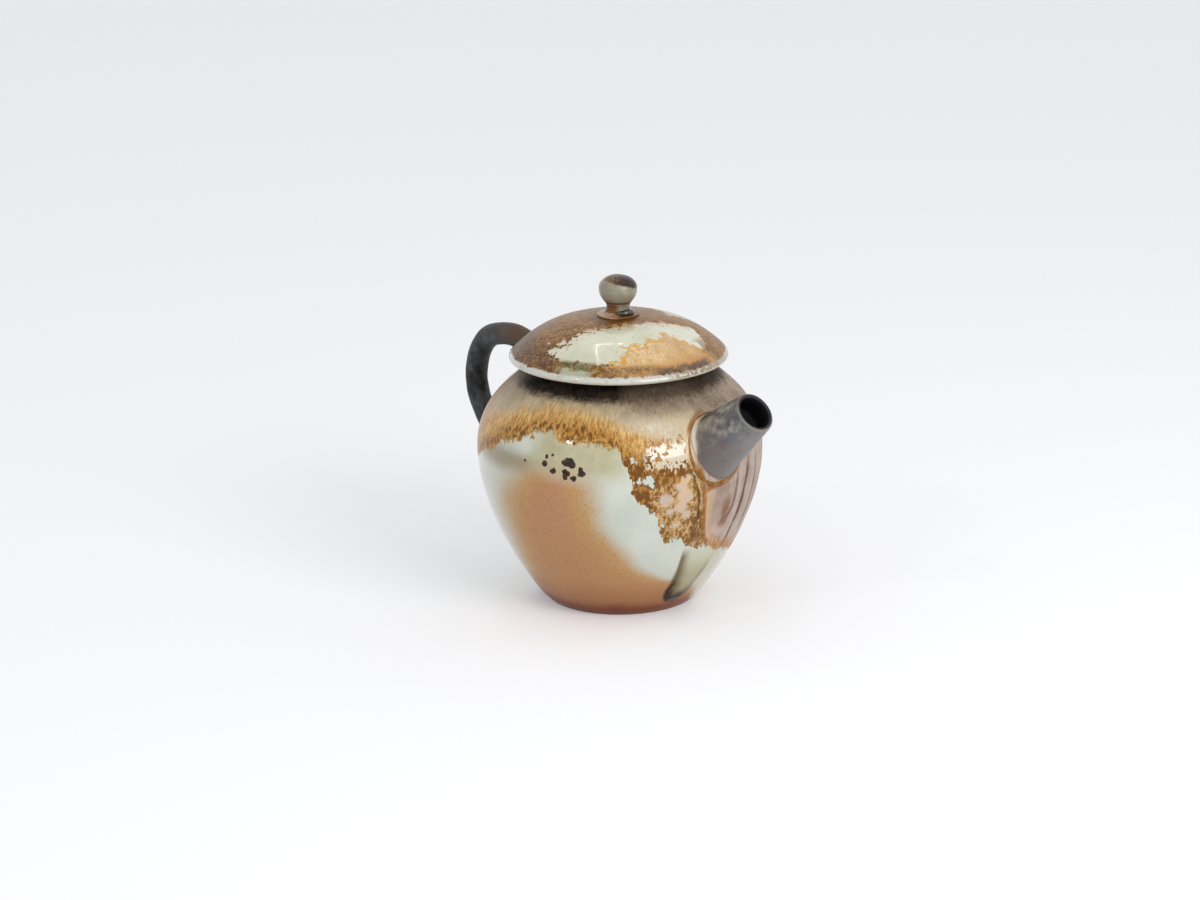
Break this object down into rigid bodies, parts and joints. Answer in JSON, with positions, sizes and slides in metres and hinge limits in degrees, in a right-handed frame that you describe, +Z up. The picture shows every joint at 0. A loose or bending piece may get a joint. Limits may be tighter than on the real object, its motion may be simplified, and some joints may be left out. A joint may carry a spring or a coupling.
{
  "type": "teapot",
  "caption": "Small round porcelain teapot with a short side spout, a back coil handle and a domed lid with a ball knob that lifts off and turns.",
  "frame": {"origin": "centre of the flat base, on the surface that the pot stands on", "axes": "+Z up along the thrown axis, +X towards the spout, -X towards the handle; the part mirrors across the XZ plane"},
  "size_m": [0.1111, 0.076, 0.0875],
  "materials": {
    "glazed_body": "pale celadon glaze with ochre ash drips and an orange fire flash, glossy",
    "glazed_lid": "brown ash crust over pale celadon, satin to glossy",
    "knob_glaze": "grey-green glaze with a dark brown cap",
    "spout_slip": "matte blue-grey smoked porcelain",
    "lute_slip": "honey ochre ash bead",
    "handle_char": "matte charcoal, smoked, with a brown bloom on top",
    "bare_porcelain": "unglazed, matte"
  },
  "bodies": {
    "pot": {"pot_body": "glazed_body", "spout": "spout_slip", "spout_lute": "lute_slip", "strainer": "bare_porcelain", "handle": "handle_char"},
    "lid_ring": {"lid_flange": "bare_porcelain"},
    "lid": {"lid_dome": "glazed_lid", "lid_knob": "knob_glaze"}
  },
  "joints": [
    {"name": "lid_lift", "type": "slide", "parent": "pot", "child": "lid_ring", "axis": [0, 0, 1], "range_m": [0, 0.05]},
    {"name": "lid_turn", "type": "hinge", "parent": "lid_ring", "child": "lid", "pos_m": [0, 0, 0.0687], "axis": [0, 0, 1], "continuous": true}
  ]
}
